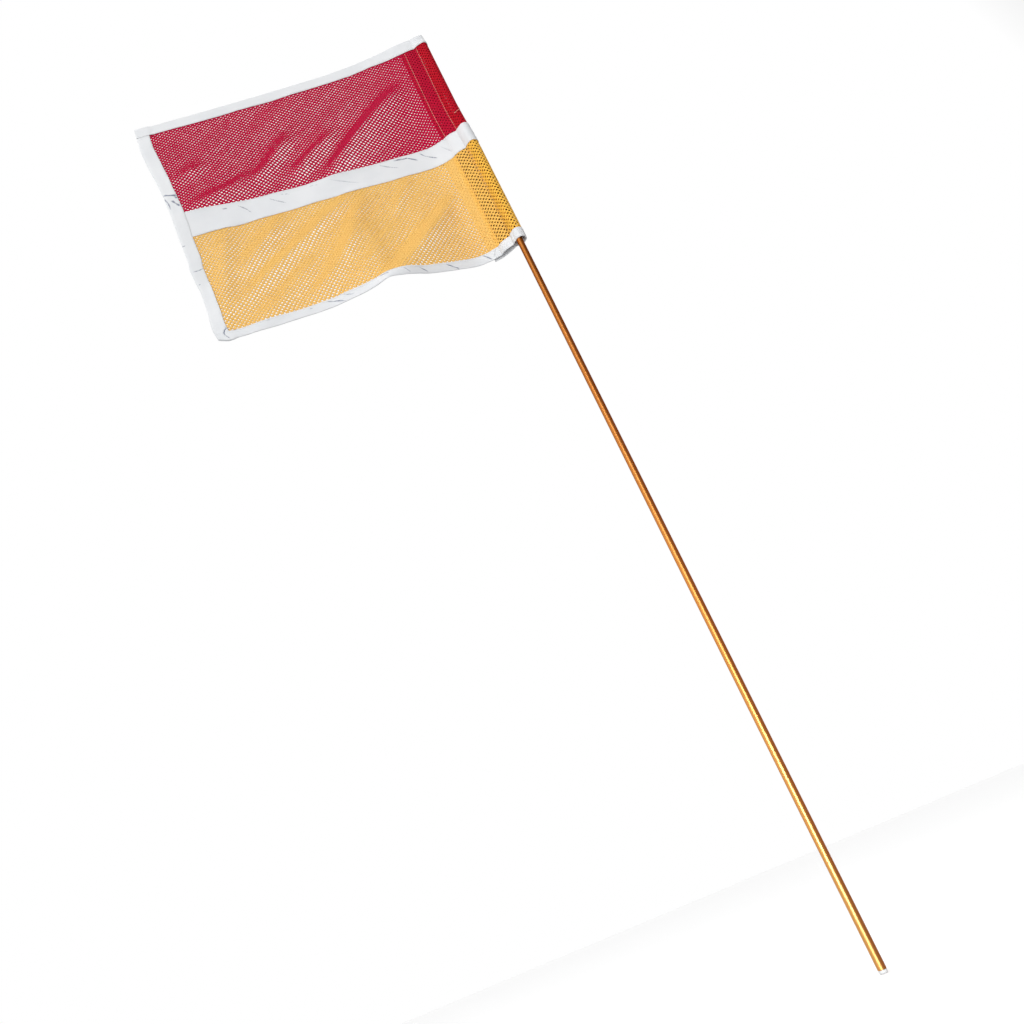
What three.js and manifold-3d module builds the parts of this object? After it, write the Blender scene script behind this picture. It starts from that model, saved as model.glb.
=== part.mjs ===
// Flagstick: a slim plugged tube carrying a two-colour mesh flag on a sewn pocket.
// Millimetres, +Z up. The pole stands on +Z with the middle of its foot at the origin,
// the flag flies towards -X and its front faces -Y.
import * as THREE from 'three';
import Module from 'manifold-3d';

const wasm = await Module();
wasm.setup();
const { Manifold } = wasm;

// --- driving dimensions -------------------------------------------------------------
const POLE_OD = 6.35;            // quarter-inch tube
const POLE_WALL = 0.9;
const POLE_TOP = 1016;           // forty inches overall, plugs included
const PLUG_HEAD = 2.4;           // what shows of each end plug
const PLUG_STEM = 14;            // what sits inside the tube
const GAP = 0.3;                 // air left between neighbouring pieces

const FLAG_FOOT = 702;           // height of the flag's lower edge
const HOIST = 328;               // flag height along the pole
const FLY = 341;                 // from the pole's axis to the free edge, along the cloth
const MESH = 0.8;                // thickness of the mesh fabric
const TAPE = 0.5;                // thickness of the white tape
const BIND_TOP = 15;             // visible width of each folded edge tape
const BIND_FLY = 14;
const BIND_FOOT = 11;
const BAND_LOW = 144;            // the middle band, measured up from the flag's foot
const BAND_HIGH = 172;
const SEAM = (BAND_LOW + BAND_HIGH) / 2;
const CORNER_CUT = 9;            // clipped lower free corner

const POCKET_R = 3.7;            // inside radius of the pocket round the pole
const POCKET_END = 11;           // pocket stitch, out from the pole's axis
const HEM_END = 27;              // hem stitch and fold line, out from the pole's axis
const HEM_ANGLE = 20;            // the hem trails this many degrees behind -X
const FOLD_CLEAR = 2.6;          // left free each side of the fold line
const THREAD = 0.6;

const SWAY = 8.5;                // how far the cloth first swings back behind the hem
const SWAY_RUN = 18;
const RETURN = 0.062;            // and how fast it comes forward again
const WAVE = 20;                 // forward bulge along the lower edge
const WAVE_AT = 128;
const WAVE_WIDTH = 34;
const WAVE_RISE = 150;
const RIPPLE = 1.6;              // soft slanting folds
const RIPPLE_PITCH = 92;

const LAYER = MESH / 2 + GAP + TAPE / 2;       // tape's mid-face from the mesh's mid-face
const STITCH_OFF = LAYER + TAPE / 2 + GAP + THREAD / 2;

// --- materials ----------------------------------------------------------------------
const finish = (color, roughness, metalness = 0) => () =>
  new THREE.MeshStandardMaterial({ color, roughness, metalness });
const gold = finish(0xb98a3c, 0.32, 0.9);
const plugWhite = finish(0xdfe2e4, 0.45);
const redMesh = finish(0xa80f28, 0.8);
const yellowMesh = finish(0xe8ae4e, 0.8);
const whiteTape = finish(0xe2e6ea, 0.3);
const thread = finish(0xd9d9d6, 0.7);

// --- solids by sweeping -------------------------------------------------------------
// left[] and right[] are matching points [a, b] on the two sides of a ribbon; the ribbon
// is carried through the stations t by place(a, b, t). A closed ribbon is a ring.
function sweep(left, right, stations, place, closed = false) {
  const n = left.length;
  const positions = [];
  const index = [];
  for (const t of stations) {
    for (const side of [left, right]) {
      for (const [a, b] of side) positions.push(...place(a, b, t));
    }
  }
  const at = (k, side, i) => k * 2 * n + side * n + (i % n);
  const quad = (a, b, c, d) => index.push(a, b, c, a, c, d);
  const last = stations.length - 1;
  const runs = closed ? n : n - 1;
  for (let i = 0; i < runs; i++) {
    for (let k = 0; k < last; k++) {
      quad(at(k, 0, i), at(k, 0, i + 1), at(k + 1, 0, i + 1), at(k + 1, 0, i));
      quad(at(k, 1, i + 1), at(k, 1, i), at(k + 1, 1, i), at(k + 1, 1, i + 1));
    }
    quad(at(0, 0, i + 1), at(0, 0, i), at(0, 1, i), at(0, 1, i + 1));
    quad(at(last, 0, i), at(last, 0, i + 1), at(last, 1, i + 1), at(last, 1, i));
  }
  if (!closed) {
    for (let k = 0; k < last; k++) {
      quad(at(k, 0, 0), at(k + 1, 0, 0), at(k + 1, 1, 0), at(k, 1, 0));
      quad(at(k, 0, n - 1), at(k, 1, n - 1), at(k + 1, 1, n - 1), at(k + 1, 0, n - 1));
    }
  }
  return faceOut(new THREE.Float32BufferAttribute(positions, 3), index);
}

// Turns the triangles over when the solid came out inside-out.
function faceOut(position, index) {
  let volume = 0;
  const p = [0, 1, 2].map(() => new THREE.Vector3());
  for (let i = 0; i < index.length; i += 3) {
    p.forEach((v, j) => v.fromBufferAttribute(position, index[i + j]));
    volume += p[0].dot(p[1].cross(p[2]));
  }
  if (volume < 0) {
    for (let i = 0; i < index.length; i += 3) {
      [index[i], index[i + 1]] = [index[i + 1], index[i]];
    }
  }
  const geometry = new THREE.BufferGeometry();
  geometry.setAttribute('position', position);
  geometry.setIndex(index);
  geometry.computeVertexNormals();
  return geometry;
}

const steps = (from, to, count) =>
  Array.from({ length: count + 1 }, (_, i) => from + ((to - from) * i) / count);

// Thickens a path of [a, b] points by half on each side; returns the two sides.
function thicken(path, half) {
  const sides = [[], []];
  path.forEach(([a, b], i) => {
    const [a0, b0] = path[Math.max(i - 1, 0)];
    const [a1, b1] = path[Math.min(i + 1, path.length - 1)];
    const len = Math.hypot(a1 - a0, b1 - b0);
    const [na, nb] = [-(b1 - b0) / len, (a1 - a0) / len];
    sides[0].push([a + na * half, b + nb * half]);
    sides[1].push([a - na * half, b - nb * half]);
  });
  return sides;
}

// --- the lie of the cloth -----------------------------------------------------------
const hemRad = THREE.MathUtils.degToRad(HEM_ANGLE);
const hemX = HEM_END * Math.cos(hemRad);
const hemY = HEM_END * Math.sin(hemRad);

// Depth behind the pole's plane at x mm out from the pole, w mm up from the flag's foot.
function depth(x, w) {
  const run = x - hemX;
  const rise = Math.max(0, 1 - w / WAVE_RISE);
  const wave = WAVE * rise * rise * Math.exp(-(((x - WAVE_AT) / WAVE_WIDTH) ** 2));
  const slant = (2 * Math.PI * (0.8 * run - 0.6 * w)) / RIPPLE_PITCH;
  const ripple = RIPPLE * Math.sin(slant) * (1 - Math.exp(-run / 40));
  return hemY + SWAY * (1 - Math.exp(-run / SWAY_RUN)) - RETURN * run - wave + ripple;
}

// Point of the cloth's mid-face u mm out from the pole along the cloth.
function cloth(u, w) {
  const count = Math.max(1, Math.ceil((u - HEM_END) / 3));
  const du = (u - HEM_END) / count;
  let x = hemX;
  for (let i = 0; i < count; i++) {
    const slope = (depth(x + 0.1, w) - depth(x, w)) / 0.1;
    x += du / Math.hypot(1, slope);
  }
  return new THREE.Vector3(-x, depth(x, w), FLAG_FOOT + w);
}

// The same point moved off mm towards the front of the flag.
function onCloth(u, w, off) {
  const p = cloth(u, w);
  const along = cloth(u + 0.5, w).sub(p);
  const up = cloth(u, w + 0.5).sub(p);
  const normal = along.cross(up).normalize();
  if (normal.y > 0) normal.negate();
  return p.addScaledVector(normal, off).toArray();
}

// --- pieces of the pole -------------------------------------------------------------
const circle = (r, count = 40) => steps(0, 2 * Math.PI, count).slice(0, -1)
  .map((t) => [r * Math.cos(t), r * Math.sin(t)]);

function poleTube() {
  const low = PLUG_HEAD + GAP;
  return sweep(circle(POLE_OD / 2), circle(POLE_OD / 2 - POLE_WALL),
    [low, POLE_TOP - low], (a, b, t) => [a, b, t], true);
}

// Plug turned about Z: a rounded head with a flat middle, then a stem inside the tube.
function plug(up) {
  const head = POLE_OD / 2 - 0.1;
  const stem = POLE_OD / 2 - POLE_WALL - GAP;
  const profile = [[0, 0], [2, 0], [2.6, 0.25], [2.95, 0.8], [head, 1.6], [head, PLUG_HEAD],
    [stem, PLUG_HEAD], [stem, PLUG_HEAD + PLUG_STEM - 0.6],
    [stem - 0.6, PLUG_HEAD + PLUG_STEM], [0, PLUG_HEAD + PLUG_STEM]];
  const geometry = new THREE.LatheGeometry(profile.map(([r, z]) => new THREE.Vector2(r, z)), 40);
  geometry.rotateX(Math.PI / 2);
  if (up) geometry.rotateX(Math.PI).translate(0, 0, POLE_TOP);
  return geometry;
}

// --- pieces of the pocket and hem ---------------------------------------------------
// Hairpin path round the pole: out on the front of the hem, back on its rear. The pole's
// axis is at 0,0 and the hem runs towards +a; grow is the distance out from the pocket's
// mid-face.
function hairpin(grow, end) {
  const r = POCKET_R + MESH / 2 + grow;
  const half = MESH / 2 + 0.15 + grow;           // mid-face of each layer in the hem
  const turn = Math.acos((r - half) / POCKET_END);
  const arc = steps(turn, 2 * Math.PI - turn, 21)
    .map((t) => [r * Math.cos(t), r * Math.sin(t)]);
  const out = [end, (end + POCKET_END) / 2, POCKET_END];
  return [...out.map((a) => [a, half]), ...arc, ...out.reverse().map((a) => [a, -half])];
}

// Carries hairpin coordinates to the pole, turned so that the hem trails behind -X.
function onHem(a, b, z) {
  const c = Math.cos(hemRad);
  const s = Math.sin(hemRad);
  return [-a * c - b * s, a * s - b * c, z];
}

function pocketLayer(grow, thickness, low, high, end = HEM_END - FOLD_CLEAR) {
  const [left, right] = thicken(hairpin(grow, end), thickness / 2);
  return sweep(left, right, steps(FLAG_FOOT + low, FLAG_FOOT + high, 6), onHem);
}

const WRAP = MESH / 2 + GAP + TAPE / 2;

// The top tape closes over the pole's end, so its wrap has a lid.
function topWrap() {
  const walls = pocketLayer(WRAP, TAPE, HOIST - BIND_TOP, HOIST);
  const rim = thicken(hairpin(WRAP, HEM_END - FOLD_CLEAR), TAPE / 2)[1];
  const half = rim.length / 2;
  const lid = sweep(rim.slice(0, half), rim.slice(half).reverse(),
    [FLAG_FOOT + HOIST - TAPE, FLAG_FOOT + HOIST + TAPE], onHem);
  return fromManifold(toManifold(walls).add(toManifold(lid)));
}

function toManifold(geometry) {
  const mesh = new wasm.Mesh({
    numProp: 3,
    vertProperties: Float32Array.from(geometry.getAttribute('position').array),
    triVerts: Uint32Array.from(geometry.getIndex().array),
  });
  mesh.merge();
  return new Manifold(mesh);
}

function fromManifold(solid) {
  const mesh = solid.getMesh();
  return faceOut(new THREE.Float32BufferAttribute(mesh.vertProperties, 3),
    Array.from(mesh.triVerts));
}

// A line of stitching down the front of the hem, a mm out from the pole.
function hemThread(a, low, high) {
  const b = MESH / 2 + 0.15 + WRAP + TAPE / 2 + GAP + THREAD / 2;
  const [left, right] = thicken([[a - THREAD, b], [a + THREAD, b]], THREAD / 2);
  return sweep(left, right, steps(FLAG_FOOT + low, FLAG_FOOT + high, 12), onHem);
}

// Loose end of the sewing thread, curling off the pocket above the middle band.
function threadTail() {
  const curl = steps(0, 1.35 * Math.PI, 16).map((t) => new THREE.Vector3(
    POCKET_R + 4.2 - 2.6 * Math.cos(t), -1.2, FLAG_FOOT + BAND_HIGH + 7 + 3.2 * Math.sin(t)));
  const section = new THREE.Shape().absarc(0, 0, 0.4, 0, 2 * Math.PI, false);
  return new THREE.ExtrudeGeometry(section,
    { steps: 24, curveSegments: 5, extrudePath: new THREE.CatmullRomCurve3(curl) });
}

// --- pieces of the flying cloth -----------------------------------------------------
const START = HEM_END + FOLD_CLEAR;

// A flat piece of cloth or tape between two distances and two heights.
function panel(u0, u1, w0, w1, off, thickness, across = 10) {
  const heights = steps(w0, w1, across);
  return sweep(heights.map((w) => [w, off + thickness / 2]),
    heights.map((w) => [w, off - thickness / 2]),
    steps(u0, u1, Math.max(2, Math.round((u1 - u0) / 6))), (w, off_, u) => onCloth(u, w, off_));
}

// Tape folded over an edge: a U whose legs reach back over the mesh on both faces.
function foldedTape(edge, reach) {
  const dir = Math.sign(reach);
  const leg = [[edge + reach, LAYER], [edge + reach / 2, LAYER], [edge + dir * 0.6, LAYER],
    [edge + dir * 0.1, LAYER * 0.55]];
  const back = leg.map(([a, b]) => [a, -b]).reverse();
  return thicken([...leg, [edge, 0], ...back], TAPE / 2);
}

const along = steps(START, FLY - TAPE / 2, 52);

function topBinding() {
  const [left, right] = foldedTape(HOIST - TAPE / 2, -(BIND_TOP - TAPE / 2));
  return sweep(left, right, along, (w, off, u) => onCloth(u, w, off));
}

// The lower tape stops short of the clipped corner and is mitred towards it.
function footBinding() {
  const [left, right] = foldedTape(TAPE / 2, BIND_FOOT - TAPE / 2);
  return sweep(left, right, along, (w, off, u) => {
    const cut = CORNER_CUT * Math.max(0, 1 - w / BIND_FOOT);
    const squeeze = 1 - (cut / (FLY - START)) * Math.max(0, (u - START) / (FLY - START));
    return onCloth(START + (u - START) * squeeze, w, off);
  });
}

function flyBinding() {
  const [left, right] = foldedTape(FLY - TAPE / 2, -(BIND_FLY - TAPE / 2));
  return sweep(left, right, steps(BIND_FOOT + GAP, HOIST - BIND_TOP - GAP, 40),
    (u, off, w) => onCloth(u, w, off));
}

// Stitching along a tape begins a little way out, so that it clears the pocket when folded.
const line = (w, u1) => panel(START + 3, u1, w - THREAD, w + THREAD, STITCH_OFF, THREAD, 1);
const flyLine = () => {
  const u = FLY - BIND_FLY + 2.5;
  return panel(u - THREAD, u + THREAD, BIND_FOOT + 1, HOIST - BIND_TOP - 1, STITCH_OFF, THREAD, 40);
};

// --- assembly -----------------------------------------------------------------------
const flagstick = new THREE.Group();
flagstick.name = 'flagstick';

function add(name, geometry, material) {
  const mesh = new THREE.Mesh(geometry, material());
  mesh.name = name;
  flagstick.add(mesh);
}

const inner = FLY - TAPE - GAP;                       // mesh stops inside the fly tape
const bandEnd = FLY - BIND_FLY - GAP;

add('pole_tube', poleTube(), gold);
add('foot_plug', plug(false), plugWhite);
add('top_plug', plug(true), plugWhite);

add('red_sleeve', pocketLayer(0, MESH, SEAM + GAP, HOIST - 2), redMesh);
add('yellow_sleeve', pocketLayer(0, MESH, 1.5, SEAM - GAP), yellowMesh);
add('top_tape_wrap', topWrap(), whiteTape);
add('band_tape_wrap', pocketLayer(WRAP, TAPE, BAND_LOW, BAND_HIGH), whiteTape);
add('foot_tape_wrap', pocketLayer(WRAP, TAPE, 0, BIND_FOOT), whiteTape);
add('pocket_stitch', hemThread(POCKET_END + 1.5, 1, HOIST - 3), thread);
add('hem_stitch', hemThread(HEM_END - FOLD_CLEAR - 2, 1, HOIST - 3), thread);
add('thread_tail', threadTail(), thread);

add('red_panel', panel(START, inner, SEAM + GAP, HOIST - TAPE - GAP, 0, MESH), redMesh);
add('yellow_panel', panel(START, inner, TAPE + GAP, SEAM - GAP, 0, MESH), yellowMesh);
add('top_tape', topBinding(), whiteTape);
add('foot_tape', footBinding(), whiteTape);
add('fly_tape', flyBinding(), whiteTape);
add('band_tape_front', panel(START, bandEnd, BAND_LOW, BAND_HIGH, LAYER, TAPE, 2), whiteTape);
add('band_tape_back', panel(START, bandEnd, BAND_LOW, BAND_HIGH, -LAYER, TAPE, 2), whiteTape);
add('top_tape_stitch', line(HOIST - BIND_TOP + 2.5, FLY - 4), thread);
add('foot_tape_stitch', line(BIND_FOOT - 2.5, FLY - 14), thread);
add('band_stitch_upper', line(BAND_HIGH - 2.5, bandEnd - 1), thread);
add('band_stitch_lower', line(BAND_LOW + 2.5, bandEnd - 1), thread);
add('fly_tape_stitch', flyLine(), thread);

export default flagstick;
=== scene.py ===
"""Looks for the flagstick: cloth, tape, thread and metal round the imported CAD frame."""
import math

import bpy
import numpy as np
from mathutils import Matrix, Vector


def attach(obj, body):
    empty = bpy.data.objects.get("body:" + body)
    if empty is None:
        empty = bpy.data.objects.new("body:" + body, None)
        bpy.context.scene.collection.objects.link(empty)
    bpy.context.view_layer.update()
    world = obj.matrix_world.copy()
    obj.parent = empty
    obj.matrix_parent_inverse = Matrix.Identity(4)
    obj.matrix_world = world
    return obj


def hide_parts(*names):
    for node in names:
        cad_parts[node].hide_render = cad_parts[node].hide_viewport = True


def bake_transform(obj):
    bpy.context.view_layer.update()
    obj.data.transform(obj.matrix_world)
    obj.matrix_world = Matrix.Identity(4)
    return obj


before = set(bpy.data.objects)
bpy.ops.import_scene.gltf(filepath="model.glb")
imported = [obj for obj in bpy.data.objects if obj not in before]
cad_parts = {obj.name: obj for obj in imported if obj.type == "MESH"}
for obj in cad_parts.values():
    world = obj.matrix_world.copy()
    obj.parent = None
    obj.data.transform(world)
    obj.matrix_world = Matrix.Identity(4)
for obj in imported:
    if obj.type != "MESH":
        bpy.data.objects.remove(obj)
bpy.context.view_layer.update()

# --- sizes, in millimetres as in the CAD; meshes are scaled to metres as they are made --------
MM = 0.001
FLAG_FOOT = 702.0  # height of the flag's lower edge
HOIST = 329.0
FLY = 341.0  # from the pole's axis to the top of the free edge, along the cloth
HEM = 27.0  # hem stitch and fold line
HEM_EDGE = 37.0  # where the doubled cloth ends in the yellow; the red has a narrower hem
POCKET = 11.0  # pocket stitch
POCKET_R = 4.5  # middle of the cloth round the pole
FLAT_R = 1.4  # where the pocket is pressed flat above the pole's end
TURNED_IN = 24.0  # the raw edge turned under inside the hem
TURN_R = 0.45  # middle of the cloth where it turns under
TURN_TAKES = 1.5  # cloth that the turn takes up
RED_HEM_LESS = 8.5  # how much narrower the red hem is than the yellow
HALF = 0.95  # half the distance between the two layers in the hem
SEAM = 158.0  # where the red cloth meets the yellow, under the middle band
TAPE = 0.28
ON_CLOTH = 0.54  # from the middle of the cloth to the middle of a tape lying on it
ON_BAND = 0.90  # the same for a tape that lies on the middle band's ends
ON_FLY = 1.26  # and for one that lies on the free edge's tape

rng = np.random.default_rng(7)


# --- the lie of the cloth ---------------------------------------------------------------------
def smooth(t):
    t = np.clip(t, 0.0, 1.0)
    return t * t * (3.0 - 2.0 * t)


def through(points, x):
    """A smooth curve through a few (x, y) points, straight beyond its ends."""
    px, py = (np.array(c, float) for c in zip(*points))
    slope = np.diff(py) / np.diff(px)
    m = np.concatenate([slope[:1], (slope[1:] + slope[:-1]) / 2, slope[-1:]])
    m[1:-1] = np.where(slope[1:] * slope[:-1] <= 0, 0.35 * m[1:-1], m[1:-1])
    i = np.clip(np.searchsorted(px, x) - 1, 0, len(px) - 2)
    h = px[i + 1] - px[i]
    t = (x - px[i]) / h
    inside = np.clip(t, 0.0, 1.0)
    a, b = inside * inside * (3 - 2 * inside), inside * (1 - inside) ** 2
    c = inside * inside * (inside - 1)
    y = py[i] * (1 - a) + py[i + 1] * a + h * (b * m[i] + c * m[i + 1])
    return y + h * (t - inside) * np.where(t > 1, m[i + 1], m[i])


def ripple(x, w, seed, pitch, stretch=2.4, tilt=42.0):
    """Unrepeating soft noise, drawn out along the slant of the folds; about -1 to 1."""
    gen = np.random.default_rng(seed)
    t = math.radians(tilt)
    a = (x * math.cos(t) - w * math.sin(t)) / stretch
    b = x * math.sin(t) + w * math.cos(t)
    total = np.zeros_like(a + b)
    for _ in range(7):
        heading = gen.uniform(-1.0, 1.0)
        rate = 2.0 * math.pi / (pitch * gen.uniform(0.7, 1.5))
        total = total + np.sin(rate * (b * math.cos(heading) + a * math.sin(heading)) + gen.uniform(0, 6.28))
    return total / 4.0


def knee(t, soft):
    return 0.5 * (t + np.sqrt(t * t + soft * soft))


def fold(x, w, at_x, at_w, tilt, reach, low, high, height, bend=0.0, grow=0.0):
    """A ridge towards the viewer. Its crest runs outwards and down at tilt degrees; the cloth
    climbs to it over low mm from the side of the pole's foot and falls away over high mm."""
    t = math.radians(tilt)
    along = (x - at_x) * math.cos(t) - (w - at_w) * math.sin(t)
    across = (x - at_x) * math.sin(t) + (w - at_w) * math.cos(t)
    far = along / reach
    across = across + bend * far * far * reach
    soft = 0.3 * min(low, high)
    climb = (knee(across + low, soft) - knee(across, soft)) / low
    fall = (knee(across, soft) - knee(across - high, soft)) / high
    return height * np.exp(-(far**4)) * (1.0 + grow * far) * (climb - fall)


FOLDS = (
    # out, up, tilt, reach, low side, high side, height, bend, grow
    (92, 42, 44, 72, 34, 17, 7.5, 0.0, 0.75),
    (126, -12, 8, 22, 24, 24, 5.0, 0.0, 0.0),
    (102, 228, 41, 74, 34, 12, 8.5, 0.10, 0.0),
    (163, 214, 40, 36, 14, 11, 5.2, 0.0, 0.0),
    (204, 226, 50, 34, 14, 11, 5.6, 0.0, 0.0),
    (268, 196, 18, 48, 26, 12, 4.2, 0.0, 0.0),
    (302, 236, 20, 26, 14, 12, 3.8, 0.0, 0.0),
    (214, 90, 36, 86, 12, 14, 5.4, 0.0, 0.0),
    (150, 98, 62, 44, 12, 12, 4.8, 0.0, 0.0),
    (246, 108, 48, 42, 14, 14, 5.2, 0.0, 0.0),
    (292, 82, 78, 64, 14, 16, 6.0, 0.0, 0.0),
    (176, 52, 44, 50, 18, 14, 4.6, 0.0, 0.0),
    (66, 70, 50, 50, 14, 12, 3.8, 0.0, 0.0),
    (92, 120, 58, 26, 10, 10, 3.4, 0.0, 0.0),
    (236, 36, 40, 46, 16, 14, 4.0, 0.0, 0.0),
)

# The lie of the cloth without its folds: depth behind the pole's plane, out from the pole. These
# three lists began as another program's output and were then moved.
FOOT_LIE = ((27, 17.0), (35, 19.0), (45, 18.5), (80, 10), (125, 1.5), (143, -4), (158, -3), (180, 1),
            (205, 4), (260, 2.5), (315, -1))
BAND_LIE = ((27, 12.0), (35, 14.5), (45, 16.0), (87, 14), (153, 10), (227, 6), (276, 1), (320, -5))
TOP_LIE = ((27, 2.0), (35, 3.0), (50, 5.0), (85, 8.5), (114, 9.5), (147, 9), (240, 6), (341, 1))


def depth(x, w):
    """Depth behind the pole's plane, x out from the pole and w up from the flag's foot."""
    x, w = np.broadcast_arrays(np.asarray(x, float), np.asarray(w, float))
    up = smooth((w - SEAM) / (HOIST - SEAM))
    down = smooth((SEAM - w) / SEAM)
    y = through(BAND_LIE, x) * (1 - up - down) + through(TOP_LIE, x) * up + through(FOOT_LIE, x) * down
    held = 1.0 - 0.75 * np.exp(-(((w - SEAM) / 20.0) ** 2)) - 0.85 * np.exp(-(((w - HOIST) / 22.0) ** 2))
    held = held * (1.0 - 0.85 * np.exp(-(((x - 327.0) / 24.0) ** 2)))
    free = 1.0 - np.exp(-((np.maximum(x - 28.0, 0.0) / 16.0) ** 2))
    bumps = sum(fold(x, w, *args) for args in FOLDS)
    bumps = bumps + 0.6 * ripple(x, w, 3, 44.0) + 0.25 * ripple(x, w, 5, 19.0, 1.6)
    return y - free * held * bumps


def loose(w):
    """The pocket is snug round the pole above and hangs open below."""
    return smooth((215.0 - w) / 90.0)


def slip(w):
    """How far the cloth stands off to the far side of the pole."""
    return 3.0 * loose(w) - 0.3


def hem_edge(w):
    """Where the doubled cloth ends, out from the pole."""
    return HEM_EDGE - RED_HEM_LESS * smooth((w - 150.0) / 14.0)


# Small departures of the free edge from its line: height, mm outwards. Rounded from another
# program's readout of the outline's errors.
FLY_TRIM = ((0, -0.8), (35, 0.3), (75, 1.0), (110, 0.9), (140, -1.1), (180, -1.7), (200, -0.2), (225, 0.8),
            (245, -0.2), (271, -0.9), (300, 0.0), (329, 0.4))


# Edges of the tapes, in place on the cloth.
def fly_edge(w):
    line_in = FLY + 1.0 - 5.0 * (1.0 - w / HOIST) - 8.2 * smooth((320.0 - w) / 150.0)
    return line_in - 1.6 * smooth((w - 285.0) / 40.0) + through(FLY_TRIM, w)


def fly_width(w):
    narrow = 1.2 * np.exp(-(((w - 70.0) / 40.0) ** 2))
    wide = 1.4 * np.exp(-(((w - 275.0) / 25.0) ** 2))
    return 13.0 + 0.3 * np.sin(w / 12.0) - narrow + wide


def top_width(u):
    return 14.3 + 2.5 * smooth((80.0 - u) / 60.0) + 0.3 * np.sin(u / 13.0)


def foot_width(u):
    return 9.5 + 2.0 * smooth((90.0 - u) / 60.0) + 0.3 * np.sin(u / 10.0)


def band_high(u):
    return 172.0 + 2.0 * smooth(u / 50.0) + 4.5 * smooth((u - 200.0) / 140.0) + 0.3 * np.sin(u / 11.0)


def band_low(u):
    return 144.0 - 3.0 * smooth((u - 200.0) / 140.0) + 0.3 * np.sin(u / 9.0)


WS = np.arange(-6.0, HOIST + 8.0, 1.0)
TAIL = np.zeros_like(WS)
for _ in range(12):
    TAIL = np.arcsin(np.clip(depth(HEM * np.cos(TAIL), WS) / HEM, -0.9, 0.9))


def tail_angle(w):
    """How far behind -X the hem trails, turning with height."""
    return np.interp(w, WS, TAIL)


def fly_grid(du=1.0):
    """Positions and outward normals over the flying cloth, its length along u kept true."""
    us = np.arange(HEM, FLY + 6.0, du)
    x = HEM * np.cos(TAIL)
    xs = [x]
    for _ in us[1:]:
        s = (depth(x + 0.2, WS) - depth(x, WS)) / 0.2
        mid = x + 0.5 * du / np.hypot(1.0, s)
        s = (depth(mid + 0.1, WS) - depth(mid - 0.1, WS)) / 0.2
        x = x + du / np.hypot(1.0, s)
        xs.append(x)
    xs = np.array(xs)
    wide = np.broadcast_to(WS, xs.shape)
    p = np.stack([-xs + slip(wide), depth(xs, wide), FLAG_FOOT + wide], -1)
    n = np.cross(np.gradient(p, axis=0), np.gradient(p, axis=1))
    n /= np.linalg.norm(n, axis=-1, keepdims=True)
    n *= -np.sign(n[..., 1:2])
    return us, p, n


US, GRID_P, GRID_N = fly_grid()


def look_up(grid, u, w):
    i = np.clip(u - US[0], 0.0, len(US) - 1.001)
    j = np.clip(w - WS[0], 0.0, len(WS) - 1.001)
    i0, j0 = i.astype(int), j.astype(int)
    fi, fj = (i - i0)[..., None], (j - j0)[..., None]
    low = grid[i0, j0] * (1 - fi) + grid[i0 + 1, j0] * fi
    high = grid[i0, j0 + 1] * (1 - fi) + grid[i0 + 1, j0 + 1] * fi
    return low * (1 - fj) + high * fj


def middle(a, w):
    """The flag's middle surface a mm out from the pole: the point, its normal towards the front
    and its heading away from the pole."""
    t = tail_angle(w)
    zero = np.zeros_like(t)
    hang = slip(w) + 1.3 * loose(w) * (1.0 - smooth((a - POCKET) / (HEM - POCKET)))
    hem_p = np.stack([-a * np.cos(t) + hang, a * np.sin(t), FLAG_FOOT + w], -1)
    hem_n = np.stack([-np.sin(t), -np.cos(t), zero], -1)
    mix = smooth((a - 21.0) / 12.0)[..., None]
    n = hem_n * (1 - mix) + look_up(GRID_N, a, w) * mix
    n /= np.linalg.norm(n, axis=-1, keepdims=True)
    p = np.where((a > HEM)[..., None], look_up(GRID_P, a, w), hem_p)
    heading = np.stack([n[..., 1], -n[..., 0], zero], -1)
    heading /= np.linalg.norm(heading, axis=-1, keepdims=True)
    return p, n, heading


def half_turn(r, c):
    """Length from the pocket stitch round to the far side of the pole, arc centre c past it."""
    side = np.sqrt((POCKET + c) ** 2 - (r - HALF) ** 2)
    turn = np.arccos((r - HALF) / (POCKET + c))
    return side + r * (math.pi - turn)


HALF_TURN = float(half_turn(POCKET_R, 0.0))
FOLD_EDGE = POCKET - HALF_TURN  # s at the far side of the pole
BACK_EDGE = 2.0 * FOLD_EDGE - HEM_EDGE  # s where the yellow hem's back layer turns under
CUT_EDGE = BACK_EDGE - TURNED_IN - TURN_TAKES  # s at the yellow cloth's raw edge inside the hem


def raw_edge(w):
    """s at the cloth's raw edge inside the hem; the narrower red hem turns less cloth in."""
    return 2.0 * FOLD_EDGE - hem_edge(w) - TURNED_IN * hem_edge(w) / HEM_EDGE - TURN_TAKES


def pocket_section(w):
    """Arc radius and how far its centre lies past the pole. The pocket opens out below, and its
    top is pressed flat without getting wider."""
    r = POCKET_R + 1.1 * loose(w)
    c = np.zeros_like(r)
    for _ in range(12):
        c = c + (HALF_TURN - half_turn(r, c)) * 0.9
    flat = smooth((w - (HOIST - 15.0)) / 11.0)
    return r + (FLAT_R - r) * flat, c + (POCKET_R - FLAT_R - 1.0 - c) * flat


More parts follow.
